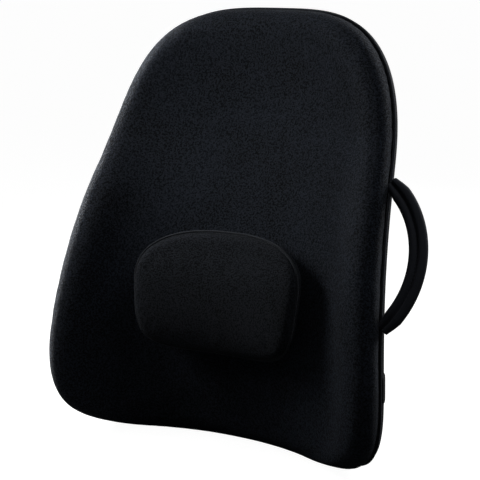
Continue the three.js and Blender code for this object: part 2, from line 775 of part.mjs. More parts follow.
// A group that turns about the vertical axis of the arc followed by a given level on the back.
// In it, Y is measured from that axis and X = 0 lies at the given distance round the back.
function onBackArc(x, z, levelFromBack) {
  const group = new THREE.Group();
  group.position.set(0, profileY(z) + BACK + levelFromBack - DISH_RADIUS, z);
  group.rotation.z = -Math.asin(x / DISH_RADIUS);
  backrest.add(group);
  return group;
}

// The three-bar slide that the chair strap threads through.
function buildAdjuster() {
  const group = onBackArc(ADJUSTER_X, STRAP_Z, STRAP_BASE + STRAP_THICKNESS);
  const base = DISH_RADIUS + 2 * GAP;
  const thickness = 2.4;
  const frame = roundedRectangle(24, STRAP_WIDTH + 7, 3);
  const cut = [-1, 1].map((side) => {
    return box(side * 5.5 - 3, side * 5.5 + 3, base - 1, base + thickness + 1, -13.2, 13.2);
  });
  const plateWithSlots = combine(extrudeAlongY(frame, base, base + thickness), { cut });
  addMesh("strap_adjuster", plateWithSlots, bucklePlastic, group);
}

// ---- Zipper ----
function buildZipperChain() {
  const xRange = [-ZIP_HALF_LENGTH, ZIP_HALF_LENGTH];
  const tapeLevels = [BACK + TAPE_BASE, BACK + TAPE_BASE + TAPE_THICKNESS];
  const teethLevels = [BACK + TEETH_BASE, BACK + TEETH_BASE + TEETH_THICKNESS];
  const halfGap = GAP / 2;
  for (const [side, name] of [[-1, "lower"], [1, "upper"]]) {
    const tapeZ = [ZIP_Z + side * halfGap, ZIP_Z + side * (halfGap + TAPE_WIDTH)];
    const tape = bentBox(xRange, tapeZ.sort((a, b) => a - b), tapeLevels, 12, 1);
    addMesh("zipper_tape_" + name, tape, zipTape);
    const teethZ = [ZIP_Z + side * halfGap, ZIP_Z + side * (halfGap + TEETH_WIDTH)];
    const teethX = [-TEETH_HALF_LENGTH, TEETH_HALF_LENGTH];
    const teeth = bentBox(teethX, teethZ.sort((a, b) => a - b), teethLevels, 16, 1);
    addMesh("zipper_teeth_" + name, teeth, zipNylon);
  }
  const stopZ = [ZIP_Z - 1.8, ZIP_Z + 1.8];
  for (const [side, name] of [[-1, "zipper_stop_open"], [1, "zipper_stop_closed"]]) {
    const near = side * (TEETH_HALF_LENGTH + 0.5);
    const far = near + side * 4;
    const stopX = [Math.min(near, far), Math.max(near, far)];
    addMesh(name, bentBox(stopX, stopZ, teethLevels, 1, 1), zipMetal);
  }
}

// The slider straddles the teeth, and its pull hangs from a bar between two posts.
function buildZipperSlider() {
  const group = onBackArc(SLIDER_REST_X, ZIP_Z, TAPE_BASE + TAPE_THICKNESS);
  const tape = DISH_RADIUS;
  const plateBottom = tape + TEETH_BASE + TEETH_THICKNESS - TAPE_BASE - TAPE_THICKNESS + GAP;
  const plateTop = plateBottom + 1.2;
  const barY = plateTop + 2.1;
  const postTop = barY + 0.9;
  const top = extrudeAlongY(roundedRectangle(10, 7.6, 2), plateBottom, plateTop);
  const add = [];
  for (const side of [-1, 1]) {
    const flange = [side * 2.1, side * 3.3].sort((a, b) => a - b);
    add.push(box(-4.5, 4.5, tape + GAP, plateBottom + 0.2, ...flange));
    const post = [side * 1.7, side * 2.5].sort((a, b) => a - b);
    add.push(box(-1.2, 1.2, plateTop - 0.2, postTop, ...post));
  }
  add.push(new THREE.CylinderGeometry(0.7, 0.7, 4, 8).rotateX(Math.PI / 2).translate(0, barY, 0));
  addMesh("zipper_slider", combine(top, { add }), zipMetal, group);

  const eyeRadius = 1.9;
  const pull = new THREE.Shape();
  pull.absarc(0, 0, eyeRadius, -0.75 * Math.PI, 0.75 * Math.PI, false);
  pull.lineTo(-5, 0.8);
  pull.lineTo(-5, -0.8);
  pull.closePath();
  pull.holes.push(circle(1, 0, 8));
  const eye = new THREE.ExtrudeGeometry(pull, { depth: 2.6, bevelEnabled: false, curveSegments: 8 });
  const tabShape = roundedRectangle(20, 5.4, 2.4, -14.5, 0);
  const tab = extrudeAlongY(tabShape, -0.8, 0.8);
  const pullGeometry = combine(eye.translate(0, 0, -1.3), { add: [tab] });
  addMesh("zipper_pull", pullGeometry, zipMetal, group).position.y = barY;
}

buildCovers();
buildFoams();
buildShell();
buildLumbarPad();
buildHandle();
buildChairStrap();
buildBuckle();
buildAdjuster();
buildZipperChain();
buildZipperSlider();

export default backrest;
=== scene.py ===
"""The looks of the lumbar support backrest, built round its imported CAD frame.

Metres, +Z up, the user's side faces -Y and the carry handle is on +X. Levels run through the
thickness along Y from the body's middle surface: negative levels are in front of it.
"""
import math

import bmesh
import bpy
import numpy as np
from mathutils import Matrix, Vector
from mathutils.bvhtree import BVHTree


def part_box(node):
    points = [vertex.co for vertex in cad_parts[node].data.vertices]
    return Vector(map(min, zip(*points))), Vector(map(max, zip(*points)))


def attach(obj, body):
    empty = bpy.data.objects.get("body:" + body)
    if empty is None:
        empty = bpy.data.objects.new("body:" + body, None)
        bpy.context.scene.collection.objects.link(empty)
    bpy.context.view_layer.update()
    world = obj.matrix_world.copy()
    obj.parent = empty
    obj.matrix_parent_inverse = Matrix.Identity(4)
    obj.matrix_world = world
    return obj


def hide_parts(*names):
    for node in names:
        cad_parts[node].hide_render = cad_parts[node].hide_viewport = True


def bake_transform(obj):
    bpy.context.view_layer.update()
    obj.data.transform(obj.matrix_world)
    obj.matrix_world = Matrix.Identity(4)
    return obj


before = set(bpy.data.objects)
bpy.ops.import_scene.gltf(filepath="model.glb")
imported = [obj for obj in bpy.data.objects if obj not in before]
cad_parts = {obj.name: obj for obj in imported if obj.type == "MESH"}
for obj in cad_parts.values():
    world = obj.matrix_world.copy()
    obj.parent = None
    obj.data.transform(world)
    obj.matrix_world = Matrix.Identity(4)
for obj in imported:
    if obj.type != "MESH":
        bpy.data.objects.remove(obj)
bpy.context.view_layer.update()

MM = 0.001

# ---- Body shape: the driving dimensions of the frame's own curves ----
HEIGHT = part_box("front_cover")[1].z
TARGET = Vector((0, 0, 0.5 * HEIGHT))
LIT_POINT = Vector((0, 0, 0.8 * HEIGHT))
HALF_WIDTH_BOTTOM = 237.5 * MM
HALF_WIDTH_TOP = 167 * MM
SIDE_BULGE = 8 * MM
TOP_CAP = 187 * MM
TOP_POWER = 3.5
BOTTOM_CAP = 246 * MM
BOTTOM_POWER = 6
SEAT_FLAT_DEPTH = 0.8 * MM
BODY_CENTRE_Z = 262 * MM

ARC_START = 95 * MM
ARC_END = 325 * MM
CURL_START = 364 * MM
PROFILE_TOP = 530 * MM
LEAN = math.radians(23.4)
TOP_TILT = math.radians(-11)
DISH_RADIUS = 350 * MM

# ---- Layers ----
FRONT = -28 * MM
BACK = 28 * MM
FRONT_EDGE_RADIUS = 26 * MM
BACK_EDGE_RADIUS = 12 * MM
SEAM_LEVEL = 12 * MM
WELT_RADIUS = 2.2 * MM
WELT_INSET = 0.6 * MM
SEAM_GAP = WELT_RADIUS + 0.3 * MM
FRONT_CORE_LEVEL = 8.3 * MM
BACK_CORE_LEVEL = 13.5 * MM
BOLSTER_RISE = 8 * MM
BOLSTER_INSET = 32 * MM
BOLSTER_WIDTH = 22 * MM
BOLSTER_FULL_Z = 230 * MM
BOLSTER_END_Z = 390 * MM

# ---- Lumbar pad, in heights above the front face ----
PAD_CENTRE_Z = 199 * MM
PAD_HALF_WIDTH = 113.5 * MM
PAD_TAPER = 0.05
PAD_TOP_HEIGHT = 67 * MM
PAD_BOTTOM_HEIGHT = 78 * MM
PAD_TOP_POWER = 2.6
PAD_BOTTOM_POWER = 4.8
PAD_TILT = math.radians(0.5)
PAD_BASE = 3.4 * MM
PAD_SEAM = 26 * MM
PAD_SHOULDER = 38 * MM
PAD_CROWN = 42 * MM
PAD_EDGE_INSET = 13 * MM
PAD_BACK_INSET = 14 * MM
PAD_WELT_RADIUS = 1.4 * MM

# ---- Handle ----
HANDLE_LOW_Z = 187 * MM
HANDLE_HIGH_Z = 335 * MM
HANDLE_CLEARANCE = 5.5 * MM
HANDLE_RISE = 33.5 * MM
HANDLE_END_TRIM = math.radians(6)
LOBE_RADIUS = 6.1 * MM
LOBE_SPACING = 5.3 * MM
GRIP_SECTIONS = 180
TAIL_SECTIONS = 24
TAIL_DEPTH = 6.5 * MM

# ---- Chair strap and zipper, on the back ----
STRAP_LOW, STRAP_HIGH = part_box("strap_right")
STRAP_Z = (STRAP_LOW.z + STRAP_HIGH.z) / 2
STRAP_WIDTH = STRAP_HIGH.z - STRAP_LOW.z
STRAP_OUTER_X = STRAP_HIGH.x
STRAP_BASE = 2.6 * MM
STRAP_THICKNESS = 1.4 * MM
STRAP_RETURN = 30 * MM
BUCKLE_TOP = 12.8 * MM
BUCKLE_BAR = 3.5 * MM
TAB_LOW, TAB_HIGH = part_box("strap_anchor_right")
TAB_HEIGHT = TAB_HIGH.z - TAB_LOW.z
TAB_THICKNESS = 1.6 * MM
ZIP_LOW, ZIP_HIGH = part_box("zipper_tape_lower")[0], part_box("zipper_tape_upper")[1]
ZIP_Z = (ZIP_LOW.z + ZIP_HIGH.z) / 2
ZIP_REACH = ZIP_HIGH.x
ZIP_TAPE_WIDTH = 8 * MM
ZIP_PITCH = 2.1 * MM

# ---- Soft covers: how far each stands proud of the frame's solid, and how far it may swell ----
CLOTH_PRESSURE = 4
FOAM_GIVE = 0.4 * MM
FRONT_PROUD = 0.5 * MM
FRONT_SWELL = 2 * MM
FRONT_VOXEL = 5 * MM
PAD_SKIN = 1 * MM
PAD_SWELL = 2.5 * MM
PAD_VOXEL = 4 * MM
CORE_EDGE_INSET = 8 * MM
# The pad's hook strips slide over this part of the front, so the cover hardly swells there.
PRESSED_HALF_WIDTH = 140 * MM
PRESSED_HALF_HEIGHT = 130 * MM
STITCH_PITCH = 4.2 * MM
STITCH_LENGTH = 3.2 * MM
STITCH_RADIUS = 0.42 * MM


# ---- Curves of the body ----
def arc_rise(z, low, high, start, end):
    """How far a circle bends away while its slope turns from one angle to another over a height."""
    radius = (high - low) / (math.sin(end) - math.sin(start))
    sine = math.sin(start) + (np.clip(z, low, high) - low) / radius
    return radius * (math.cos(start) - np.sqrt(1 - sine**2))


def profile_y(z):
    straight = np.clip(z, ARC_END, CURL_START) - ARC_END
    lower = arc_rise(z, ARC_START, ARC_END, 0, LEAN)
    return lower + straight * math.tan(LEAN) + arc_rise(z, CURL_START, PROFILE_TOP, LEAN, TOP_TILT)


def dish_depth(x):
    return DISH_RADIUS - np.sqrt(DISH_RADIUS**2 - x**2)


def on_surface(x, z, level):
    x, z, level = np.broadcast_arrays(*(np.asarray(value, float) for value in (x, z, level)))
    return np.stack([x, profile_y(z) - dish_depth(x) + level, z], axis=-1)


def level_of(points):
    return points[:, 1] - profile_y(points[:, 2]) + dish_depth(points[:, 0])


def signed_power(value, power):
    return np.sign(value) * np.abs(value) ** power


def wall_x(z):
    """The side wall's distance from the middle plane at a height."""
    share = z / PROFILE_TOP
    width = HALF_WIDTH_BOTTOM + (HALF_WIDTH_TOP - HALF_WIDTH_BOTTOM) * share
    width = width + SIDE_BULGE * 4 * share * (1 - share)
    top_reach = np.maximum(z - (PROFILE_TOP - TOP_CAP), 0) / TOP_CAP
    bottom_reach = np.maximum(BOTTOM_CAP - z, 0) / BOTTOM_CAP
    top = np.maximum(1 - top_reach**TOP_POWER, 0) ** (1 / TOP_POWER)
    bottom = np.maximum(1 - bottom_reach**BOTTOM_POWER, 0) ** (1 / BOTTOM_POWER)
    return width * top * bottom


def evenly_spaced(dense, count):
    """Evenly spaced points round a closed outline, and the outward normal at each."""
    closed = np.vstack([dense, dense[:1]])
    reached = np.concatenate([[0], np.cumsum(np.linalg.norm(np.diff(closed, axis=0), axis=1))])
    wanted = np.linspace(0, reached[-1], count, endpoint=False)
    points = np.stack([np.interp(wanted, reached, closed[:, k]) for k in (0, 1)], axis=1)
    along = np.roll(points, -1, axis=0) - np.roll(points, 1, axis=0)
    along /= np.linalg.norm(along, axis=1, keepdims=True)
    return points, np.stack([along[:, 1], -along[:, 0]], axis=1)


def body_outline(count):
    """From the bottom centre up the +X side, over the top and down the other side."""
    quarter = np.linspace(0, math.pi / 2, 300)
    lower = BOTTOM_CAP * (1 - signed_power(np.cos(quarter), 2 / BOTTOM_POWER))
    side = np.linspace(BOTTOM_CAP, PROFILE_TOP - TOP_CAP, 60)[1:-1]
    upper = PROFILE_TOP - TOP_CAP + TOP_CAP * signed_power(np.sin(quarter), 2 / TOP_POWER)
    z = np.concatenate([lower, side, upper])
    right = np.stack([wall_x(z), np.maximum(z - SEAT_FLAT_DEPTH, 0)], axis=1)
    left = right[::-1] * [-1, 1]
    return evenly_spaced(np.vstack([right, left[1:-1]]), count)


def pad_outline(count):
    turn = np.linspace(-math.pi / 2, 1.5 * math.pi, 720, endpoint=False)
    top = np.sin(turn) > 0
    power = np.where(top, 2 / PAD_TOP_POWER, 2 / PAD_BOTTOM_POWER)
    z = np.where(top, PAD_TOP_HEIGHT, PAD_BOTTOM_HEIGHT) * signed_power(np.sin(turn), power)
    width = PAD_HALF_WIDTH * (1 + PAD_TAPER * z / PAD_TOP_HEIGHT)
    x = width * signed_power(np.cos(turn), power)
    cosine, sine = math.cos(PAD_TILT), math.sin(PAD_TILT)
    turned = np.stack([x * cosine - z * sine, PAD_CENTRE_Z + x * sine + z * cosine], axis=1)
    return evenly_spaced(turned, count)


# ---- Mesh builders: each returns points and faces ----
def tube_faces(rows, sides, closed):
    """Quads between neighbouring rings, with two caps unless the run is closed."""
    faces = []
    for row in range(rows if closed else rows - 1):
        for side in range(sides):
            after = (side + 1) % sides
            below = ((row + 1) % rows) * sides
            faces.append((row * sides + side, row * sides + after, below + after, below + side))
    if not closed:
        faces.append(tuple(range(sides)))
        faces.append(tuple(range((rows - 1) * sides, rows * sides)))
    return faces


def plate(outline, centre_z, stations):
    """A closed form of rings. A station is (inset, level, size about the centre)."""
    points, normals = outline
    rings = []
    for inset, level, scale in stations:
        ring = points - normals * inset
        z = centre_z + (ring[:, 1] - centre_z) * scale
        rings.append(on_surface(ring[:, 0] * scale, np.maximum(z, 0), level))
    return np.concatenate(rings), tube_faces(len(rings), len(points), closed=False)


def cord(outline, inset, level, radius, sides=10):
    """A round cord that follows the whole outline."""
    points, normals = outline
    turn = np.linspace(0, 2 * math.pi, sides, endpoint=False)
    out = radius * np.cos(turn) - inset
    x = points[:, :1] + normals[:, :1] * out
    z = np.maximum(points[:, 1:] + normals[:, 1:] * out, 0)
    rings = on_surface(x, z, level + radius * np.sin(turn))
    return rings.reshape(-1, 3), tube_faces(len(points), sides, closed=True)


def slab(outer, inner):
    """A closed sheet between two grids of points, each rows by columns by 3."""
    rows, columns = outer.shape[:2]
    rings = np.concatenate([outer, inner[:, ::-1]], axis=1)
    return rings.reshape(-1, 3), tube_faces(rows, 2 * columns, closed=False)


def ribbon(path, z_centre, width, thickness, edge_x=None, columns=9):
    """Webbing whose middle line is a path of (x, level) points, thinner along its two edges."""
    path = np.asarray(path, float)
    along = np.gradient(path, axis=0)
    along /= np.linalg.norm(along, axis=1, keepdims=True)
    normal = np.stack([-along[:, 1], along[:, 0]], axis=1)
    across = np.sin(np.linspace(-math.pi / 2, math.pi / 2, columns))
    z = z_centre + across * width / 2
    half = thickness / 2 * (1 - 0.5 * np.abs(across) ** 8)
    shift = edge_x(z) if edge_x else 0 * z

    def side(sign):
        x = path[:, :1] + normal[:, :1] * half * sign + shift
        return on_surface(x, z, path[:, 1:] + normal[:, 1:] * half * sign)

    return slab(side(1), side(-1))


def grains(centres, along, up, length, radius, lift=0.0):
    """Small rounded threads, one at each centre."""
    centres, along, up = (np.broadcast_to(v, np.shape(centres)) for v in (centres, along, up))
    side = np.cross(along, up)
    places = np.array([-1, -0.75, 0, 0.75, 1]) * length / 2
    sizes = np.array([0.15, 0.8, 1, 0.8, 0.15]) * radius
    turns = np.linspace(0, 2 * math.pi, 6, endpoint=False)
    rings = []
    for place, size in zip(places, sizes):
        for turn in turns:
            arch = lift * (1 - (2 * place / length) ** 2)
            offset = up * (size * math.sin(turn) + arch) + side * size * math.cos(turn)
            rings.append(centres + along * place + offset)
    points = np.stack(rings, axis=1)
    one = tube_faces(len(places), len(turns), closed=False)
    count = points.shape[1]
    faces = [tuple(v + k * count for v in face) for k in range(len(points)) for face in one]
    return points.reshape(-1, 3), faces


def merged(*parts):
    points = np.concatenate([part[0] for part in parts])
    faces = []
    base = 0
    for part_points, part_faces in parts:
        faces += [tuple(v + base for v in face) for face in part_faces]
        base += len(part_points)
    return points, faces


def mirrored(part):
    return part[0] * [-1, 1, 1], part[1]


# ---- Pieces ----
def make_piece(name, part, look):
    mesh = bpy.data.meshes.new(name)
    mesh.from_pydata(np.asarray(part[0]).tolist(), [], part[1])
    shape = bmesh.new()
    shape.from_mesh(mesh)
    bmesh.ops.recalc_face_normals(shape, faces=shape.faces)
    shape.to_mesh(mesh)
    shape.free()
    mesh.materials.append(look)
    mesh.shade_smooth()
    piece = bpy.data.objects.new(name, mesh)
    bpy.context.scene.collection.objects.link(piece)
    return piece


def place(piece, body, slot, *stands_for):
    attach(piece, body)
    if stands_for:
        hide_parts(*stands_for)
    return piece


def points_of(piece):
    flat = np.zeros(3 * len(piece.data.vertices))
    piece.data.vertices.foreach_get("co", flat)
    return flat.reshape(-1, 3)


def normals_of(piece):
    flat = np.zeros(3 * len(piece.data.vertices))
    piece.data.vertex_normals.foreach_get("vector", flat)
    return flat.reshape(-1, 3)


def set_points(piece, points):
    piece.data.vertices.foreach_set("co", np.ascontiguousarray(points).ravel())
    piece.data.update()


def apply_modifiers(piece):
    graph = bpy.context.evaluated_depsgraph_get()
    mesh = bpy.data.meshes.new_from_object(piece.evaluated_get(graph))
    piece.modifiers.clear()
    piece.data = mesh
    mesh.shade_smooth()


def even_quads(piece, voxel):
    remesh = piece.modifiers.new("even quads", "REMESH")
    remesh.mode = "VOXEL"
    remesh.voxel_size = voxel
    apply_modifiers(piece)


def inflate(piece, held, most):
    """Fills a closed cover like a cushion, by cloth under pressure. Held points stay. The foam
    behind the cover stops it from sinking, and its stretch keeps any swelling under `most`."""
    rest = points_of(piece)
    group = piece.vertex_groups.new(name="held")
    group.add(np.flatnonzero(held).tolist(), 1, "REPLACE")
    cloth = piece.modifiers.new("filling", "CLOTH")
    cloth.settings.vertex_group_mass = group.name
    cloth.settings.use_pressure = True
    cloth.settings.uniform_pressure_force = CLOTH_PRESSURE
    cloth.settings.effector_weights.gravity = 0
    for number in range(1, 21):
        bpy.context.scene.frame_set(number)
    graph = bpy.context.evaluated_depsgraph_get()
    moved = points_of(piece.evaluated_get(graph)) - rest
    piece.modifiers.clear()
    piece.vertex_groups.clear()
    bpy.context.scene.frame_set(1)
    normals = normals_of(piece)
    swell = np.sum(moved * normals, axis=1, keepdims=True)
    across = moved - swell * normals
    swell = most * np.tanh(np.maximum(swell, -FOAM_GIVE) / most)
    slip = np.linalg.norm(across, axis=1, keepdims=True)
    across *= np.minimum(1, FOAM_GIVE / np.maximum(slip, 1e-9))
    set_points(piece, rest + swell * normals + across)


def soften(piece, rounds):
    smooth = piece.modifiers.new("soft", "SMOOTH")
    smooth.factor = 0.5
    smooth.iterations = rounds
    finer = piece.modifiers.new("finer", "SUBSURF")
    finer.levels = finer.render_levels = 1
    apply_modifiers(piece)
    points = points_of(piece)
    points[:, 2] = np.maximum(points[:, 2], 0)
    set_points(piece, points)


def settled(points, piece):
    """The nearest places on a piece's surface, and the outward normals there."""
    tree = BVHTree.FromObject(piece, bpy.context.evaluated_depsgraph_get())
    found = [tree.find_nearest(Vector(point)) for point in points]
    return np.array([hit[0] for hit in found]), np.array([hit[1] for hit in found])


def stitch_row(path, piece, closed=False):
    """Threads laid on a piece's surface along a path."""
    steps = np.linalg.norm(np.diff(path, axis=0), axis=1)
    reached = np.concatenate([[0], np.cumsum(steps)])
    count = max(int(reached[-1] / STITCH_PITCH), 2)
    wanted = np.linspace(0, reached[-1], count, endpoint=not closed)
    centres = np.stack([np.interp(wanted, reached, path[:, k]) for k in range(3)], axis=1)
    ahead = np.roll(centres, -1, axis=0) - centres
    if not closed:
        ahead[-1] = ahead[-2]
    centres, normals = settled(centres, piece)
    along = ahead - normals * np.sum(ahead * normals, axis=1, keepdims=True)
    along /= np.linalg.norm(along, axis=1, keepdims=True)
    return grains(centres, along, normals, STITCH_LENGTH, STITCH_RADIUS, lift=0.15 * MM)


# ---- Materials ----
def new_material(name):
    look = bpy.data.materials.new(name)
    look.use_nodes = True
    return look, look.node_tree, look.node_tree.nodes["Principled BSDF"]


def add_node(tree, kind, inputs=None, **settings):
    node = tree.nodes.new(kind)
    for key, value in settings.items():
        setattr(node, key, value)
    for key, value in (inputs or {}).items():
        if isinstance(value, bpy.types.NodeSocket):
            tree.links.new(value, node.inputs[key])
        else:
            node.inputs[key].default_value = value
    return node


def place_coordinates(tree):
    return add_node(tree, "ShaderNodeTexCoord").outputs["Object"]


def noise(tree, where, size, detail=2.0, roughness=0.5):
    inputs = {"Vector": where, "Scale": 1 / size, "Detail": detail, "Roughness": roughness}
    return add_node(tree, "ShaderNodeTexNoise", inputs).outputs["Fac"]


def spread(tree, value, low, high, to_low=0.0, to_high=1.0):
    inputs = {
        "Value": value, "From Min": low, "From Max": high, "To Min": to_low, "To Max": to_high,
    }
    return add_node(tree, "ShaderNodeMapRange", inputs).outputs["Result"]


def maths(tree, operation, a, b):
    return add_node(tree, "ShaderNodeMath", {0: a, 1: b}, operation=operation).outputs[0]


def mixed(tree, main, other, share):
    """A share of one height map, and the rest from another."""
    return maths(
        tree, "ADD", maths(tree, "MULTIPLY", main, share), maths(tree, "MULTIPLY", other, 1 - share)
    )


def between(tree, share, dark, light):
    inputs = {"Factor": share, "A": (*dark, 1), "B": (*light, 1)}
    node = tree.nodes.new("ShaderNodeMix")
    node.data_type = "RGBA"
    sockets = {"Factor": node.inputs[0], "A": node.inputs[6], "B": node.inputs[7]}
    for key, value in inputs.items():
        if isinstance(value, bpy.types.NodeSocket):
            tree.links.new(value, sockets[key])
        else:
            sockets[key].default_value = value
    return node.outputs[2]


def raised(tree, shader, height, depth, strength=1.0):
    inputs = {"Height": height, "Distance": depth, "Strength": strength}
    bump = add_node(tree, "ShaderNodeBump", inputs)
    tree.links.new(bump.outputs["Normal"], shader.inputs["Normal"])


def finish_fabric(tree, shader, fibres, dark, light, depth, sheen):
    """Colour, roughness, relief and sheen that all follow the same fibres."""
    where = place_coordinates(tree)
    patches = noise(tree, where, 70 * MM, 2)
    worn = spread(tree, patches, 0.3, 0.7, -0.12, 0.12)
    shade = maths(tree, "ADD", fibres, worn)
    tree.links.new(between(tree, shade, dark, light), shader.inputs["Base Color"])
    tree.links.new(spread(tree, fibres, 0, 1, 0.98, 0.8), shader.inputs["Roughness"])
    raised(tree, shader, fibres, depth)
    shader.inputs["Sheen Weight"].default_value = sheen
    shader.inputs["Sheen Roughness"].default_value = 0.45
    shader.inputs["Sheen Tint"].default_value = (0.8, 0.88, 1, 1)
    shader.inputs["Specular IOR Level"].default_value = 0.2


def pile_fabric(name, dark, light, grain, depth, sheen):
    """Brushed loop knit: clumps of fuzzy fibres with fine hair over them."""
    look, tree, shader = new_material(name)
    where = place_coordinates(tree)
    clumps = spread(tree, noise(tree, where, grain, 2, 0.7), 0.43, 0.6)
    hair = spread(tree, noise(tree, where, grain / 3, 2, 0.6), 0.35, 0.65)
    fibres = mixed(tree, clumps, hair, 0.75)
    finish_fabric(tree, shader, fibres, dark, light, depth, sheen)
    return look


def woven_fabric(name, dark, light, rib, lean, depth, sheen):
    """Webbing and tape: crossed ribs at a slant, broken up by loose fibres."""
    look, tree, shader = new_material(name)
    where = place_coordinates(tree)
    inputs = {"Vector": where, "Rotation": (0, lean, 0)}
    turned = add_node(tree, "ShaderNodeMapping", inputs).outputs[0]
    waves = []
    for direction in ("X", "Z"):
        inputs = {"Vector": turned, "Scale": 0.314 / rib, "Distortion": 0.6, "Detail": 1}
        wave = add_node(tree, "ShaderNodeTexWave", inputs, bands_direction=direction)
        waves.append(wave.outputs["Fac"])
    threads = maths(tree, "MAXIMUM", *waves)
    loose = spread(tree, noise(tree, where, rib / 2, 2), 0.3, 0.7)
    fibres = mixed(tree, threads, loose, 0.7)
    finish_fabric(tree, shader, fibres, dark, light, depth, sheen)
    return look


def spacer_mesh(name, dark, light, cell, depth, sheen):
    """Breathable knit with small open cells."""
    look, tree, shader = new_material(name)
    where = place_coordinates(tree)
    inputs = {"Vector": where, "Scale": 1 / cell, "Randomness": 0.75}
    cells = add_node(tree, "ShaderNodeTexVoronoi", inputs, feature="F1").outputs["Distance"]
    walls = spread(tree, cells, 0.15, 0.6)
    loose = spread(tree, noise(tree, where, cell / 3, 2), 0.3, 0.7)
    fibres = mixed(tree, walls, loose, 0.75)
    finish_fabric(tree, shader, fibres, dark, light, depth, sheen)
    return look


def moulded(name, dark, light, roughness, grain=0.5 * MM, depth=0.03 * MM, metallic=0.0):
    """Plastic, rubber or painted metal: fine texture, faint smears and lighter worn edges."""
    look, tree, shader = new_material(name)
    where = place_coordinates(tree)
    texture = noise(tree, where, grain, 3, 0.6)
    smears = spread(tree, noise(tree, where, 12 * MM, 3), 0.35, 0.7)
    pointiness = add_node(tree, "ShaderNodeNewGeometry").outputs["Pointiness"]
    edges = spread(tree, pointiness, 0.52, 0.6)
    shade = maths(tree, "MAXIMUM", maths(tree, "MULTIPLY", smears, 0.4), edges)
    tree.links.new(between(tree, shade, dark, light), shader.inputs["Base Color"])
    rough = spread(tree, smears, 0, 1, roughness - 0.08, roughness + 0.1)
    tree.links.new(rough, shader.inputs["Roughness"])
    raised(tree, shader, texture, depth)
    shader.inputs["Metallic"].default_value = metallic
    return look


PILE = pile_fabric(
    "pile fabric", dark=(0.0018, 0.0024, 0.0036), light=(0.0325, 0.043, 0.065),
    grain=2.1 * MM, depth=1.5 * MM, sheen=0.05,
)
PAD_KNIT = pile_fabric(
    "pad knit", dark=(0.003, 0.0036, 0.005), light=(0.0245, 0.030, 0.041),
    grain=1.9 * MM, depth=0.8 * MM, sheen=0.05,
)
BACK_KNIT = spacer_mesh(
    "back knit", dark=(0.004, 0.0045, 0.005), light=(0.016, 0.017, 0.019),
    cell=2.6 * MM, depth=0.4 * MM, sheen=0.04,
)
# Piping: its colour is set lighter than the pile as a painted highlight, standing in for the thin bright
# rim of light along the welted edges.
PIPING_PAINTED_RIM = pile_fabric(
    "piping", dark=(0.012, 0.0135, 0.017), light=(0.034, 0.038, 0.046),
    grain=0.9 * MM, depth=0.2 * MM, sheen=0.25,
)
WEBBING = woven_fabric(
    "webbing", dark=(0.004, 0.0045, 0.005), light=(0.017, 0.018, 0.02),
    rib=1.6 * MM, lean=math.radians(45), depth=0.3 * MM, sheen=0.03,
)
SLEEVE_CLOTH = woven_fabric(
    "sleeve cloth", dark=(0.01, 0.0113, 0.015), light=(0.037, 0.041, 0.053),
    rib=0.9 * MM, lean=math.radians(30), depth=0.15 * MM, sheen=0.06,
)
ZIP_TAPE = woven_fabric(
    "zip tape", dark=(0.004, 0.0045, 0.005), light=(0.014, 0.015, 0.017),
    rib=0.8 * MM, lean=math.radians(45), depth=0.12 * MM, sheen=0.03,
)
THREAD = woven_fabric(
    "thread", dark=(0.008, 0.009, 0.011), light=(0.026, 0.028, 0.033),
    rib=0.4 * MM, lean=math.radians(60), depth=0.05 * MM, sheen=0.1,
)
HOOKS = moulded(
    "hook nylon", dark=(0.008, 0.009, 0.01), light=(0.03, 0.031, 0.034),
    roughness=0.6,
)
COIL = moulded(
    "coil nylon", dark=(0.008, 0.008, 0.009), light=(0.03, 0.031, 0.033),
    roughness=0.4,
)
BUCKLE = moulded(
    "buckle plastic", dark=(0.006, 0.006, 0.007), light=(0.022, 0.023, 0.025),
    roughness=0.42,
)
SHELL = moulded(
    "shell plastic", dark=(0.02, 0.021, 0.023), light=(0.04, 0.042, 0.045),
    roughness=0.5, grain=1.2 * MM,
)
RUBBER = moulded(
    "rubber cord", dark=(0.015, 0.016, 0.018), light=(0.035, 0.036, 0.04),
    roughness=0.7, grain=1.5 * MM, depth=0.08 * MM,
)
METAL = moulded(
    "painted metal", dark=(0.02, 0.02, 0.022), light=(0.14, 0.14, 0.15),
    roughness=0.34, depth=0.01 * MM, metallic=0.8,
)


# ---- Body covers ----
def quarter_turn(centre_inset, centre_level, across, through, steps):
    """Stations round an elliptical edge, from the face to the side wall."""
    turns = np.linspace(0, math.pi / 2, steps + 1)
    return [
        (centre_inset - across * math.sin(turn), centre_level + through * math.cos(turn), 1)
        for turn in turns
    ]


def face_rings(inset, level, crown=0.0, steps=14):
    """Rings from the middle of a face out to an inset, leaving out the last."""
    sizes = np.linspace(0.03, 1, steps, endpoint=False)
    return [(inset, level + crown * (1 - size**2), size) for size in sizes]


def raise_bolsters(piece):
    """The foam stands a little higher along the two side wings, and fades out towards the top."""
    points = points_of(piece)
    inset = wall_x(points[:, 2]) - np.abs(points[:, 0])
    ridge = np.exp(-(((inset - BOLSTER_INSET) / BOLSTER_WIDTH) ** 2))
    share = np.clip((BOLSTER_END_Z - points[:, 2]) / (BOLSTER_END_Z - BOLSTER_FULL_Z), 0, 1)
    fade = share**2 * (3 - 2 * share)
    in_front = np.clip(level_of(points) / FRONT, 0, 1)
    points[:, 1] -= BOLSTER_RISE * ridge * fade * in_front
    set_points(piece, points)


def free_to_swell(points):
    """How freely the front cover swells: hardly at all under the pad's travel, fully away from it."""
    across = (points[:, 0] / PRESSED_HALF_WIDTH) ** 6
    up = ((points[:, 2] - PAD_CENTRE_Z) / PRESSED_HALF_HEIGHT) ** 6
    return np.maximum(1 - np.exp(-across - up), 0.02)[:, None]


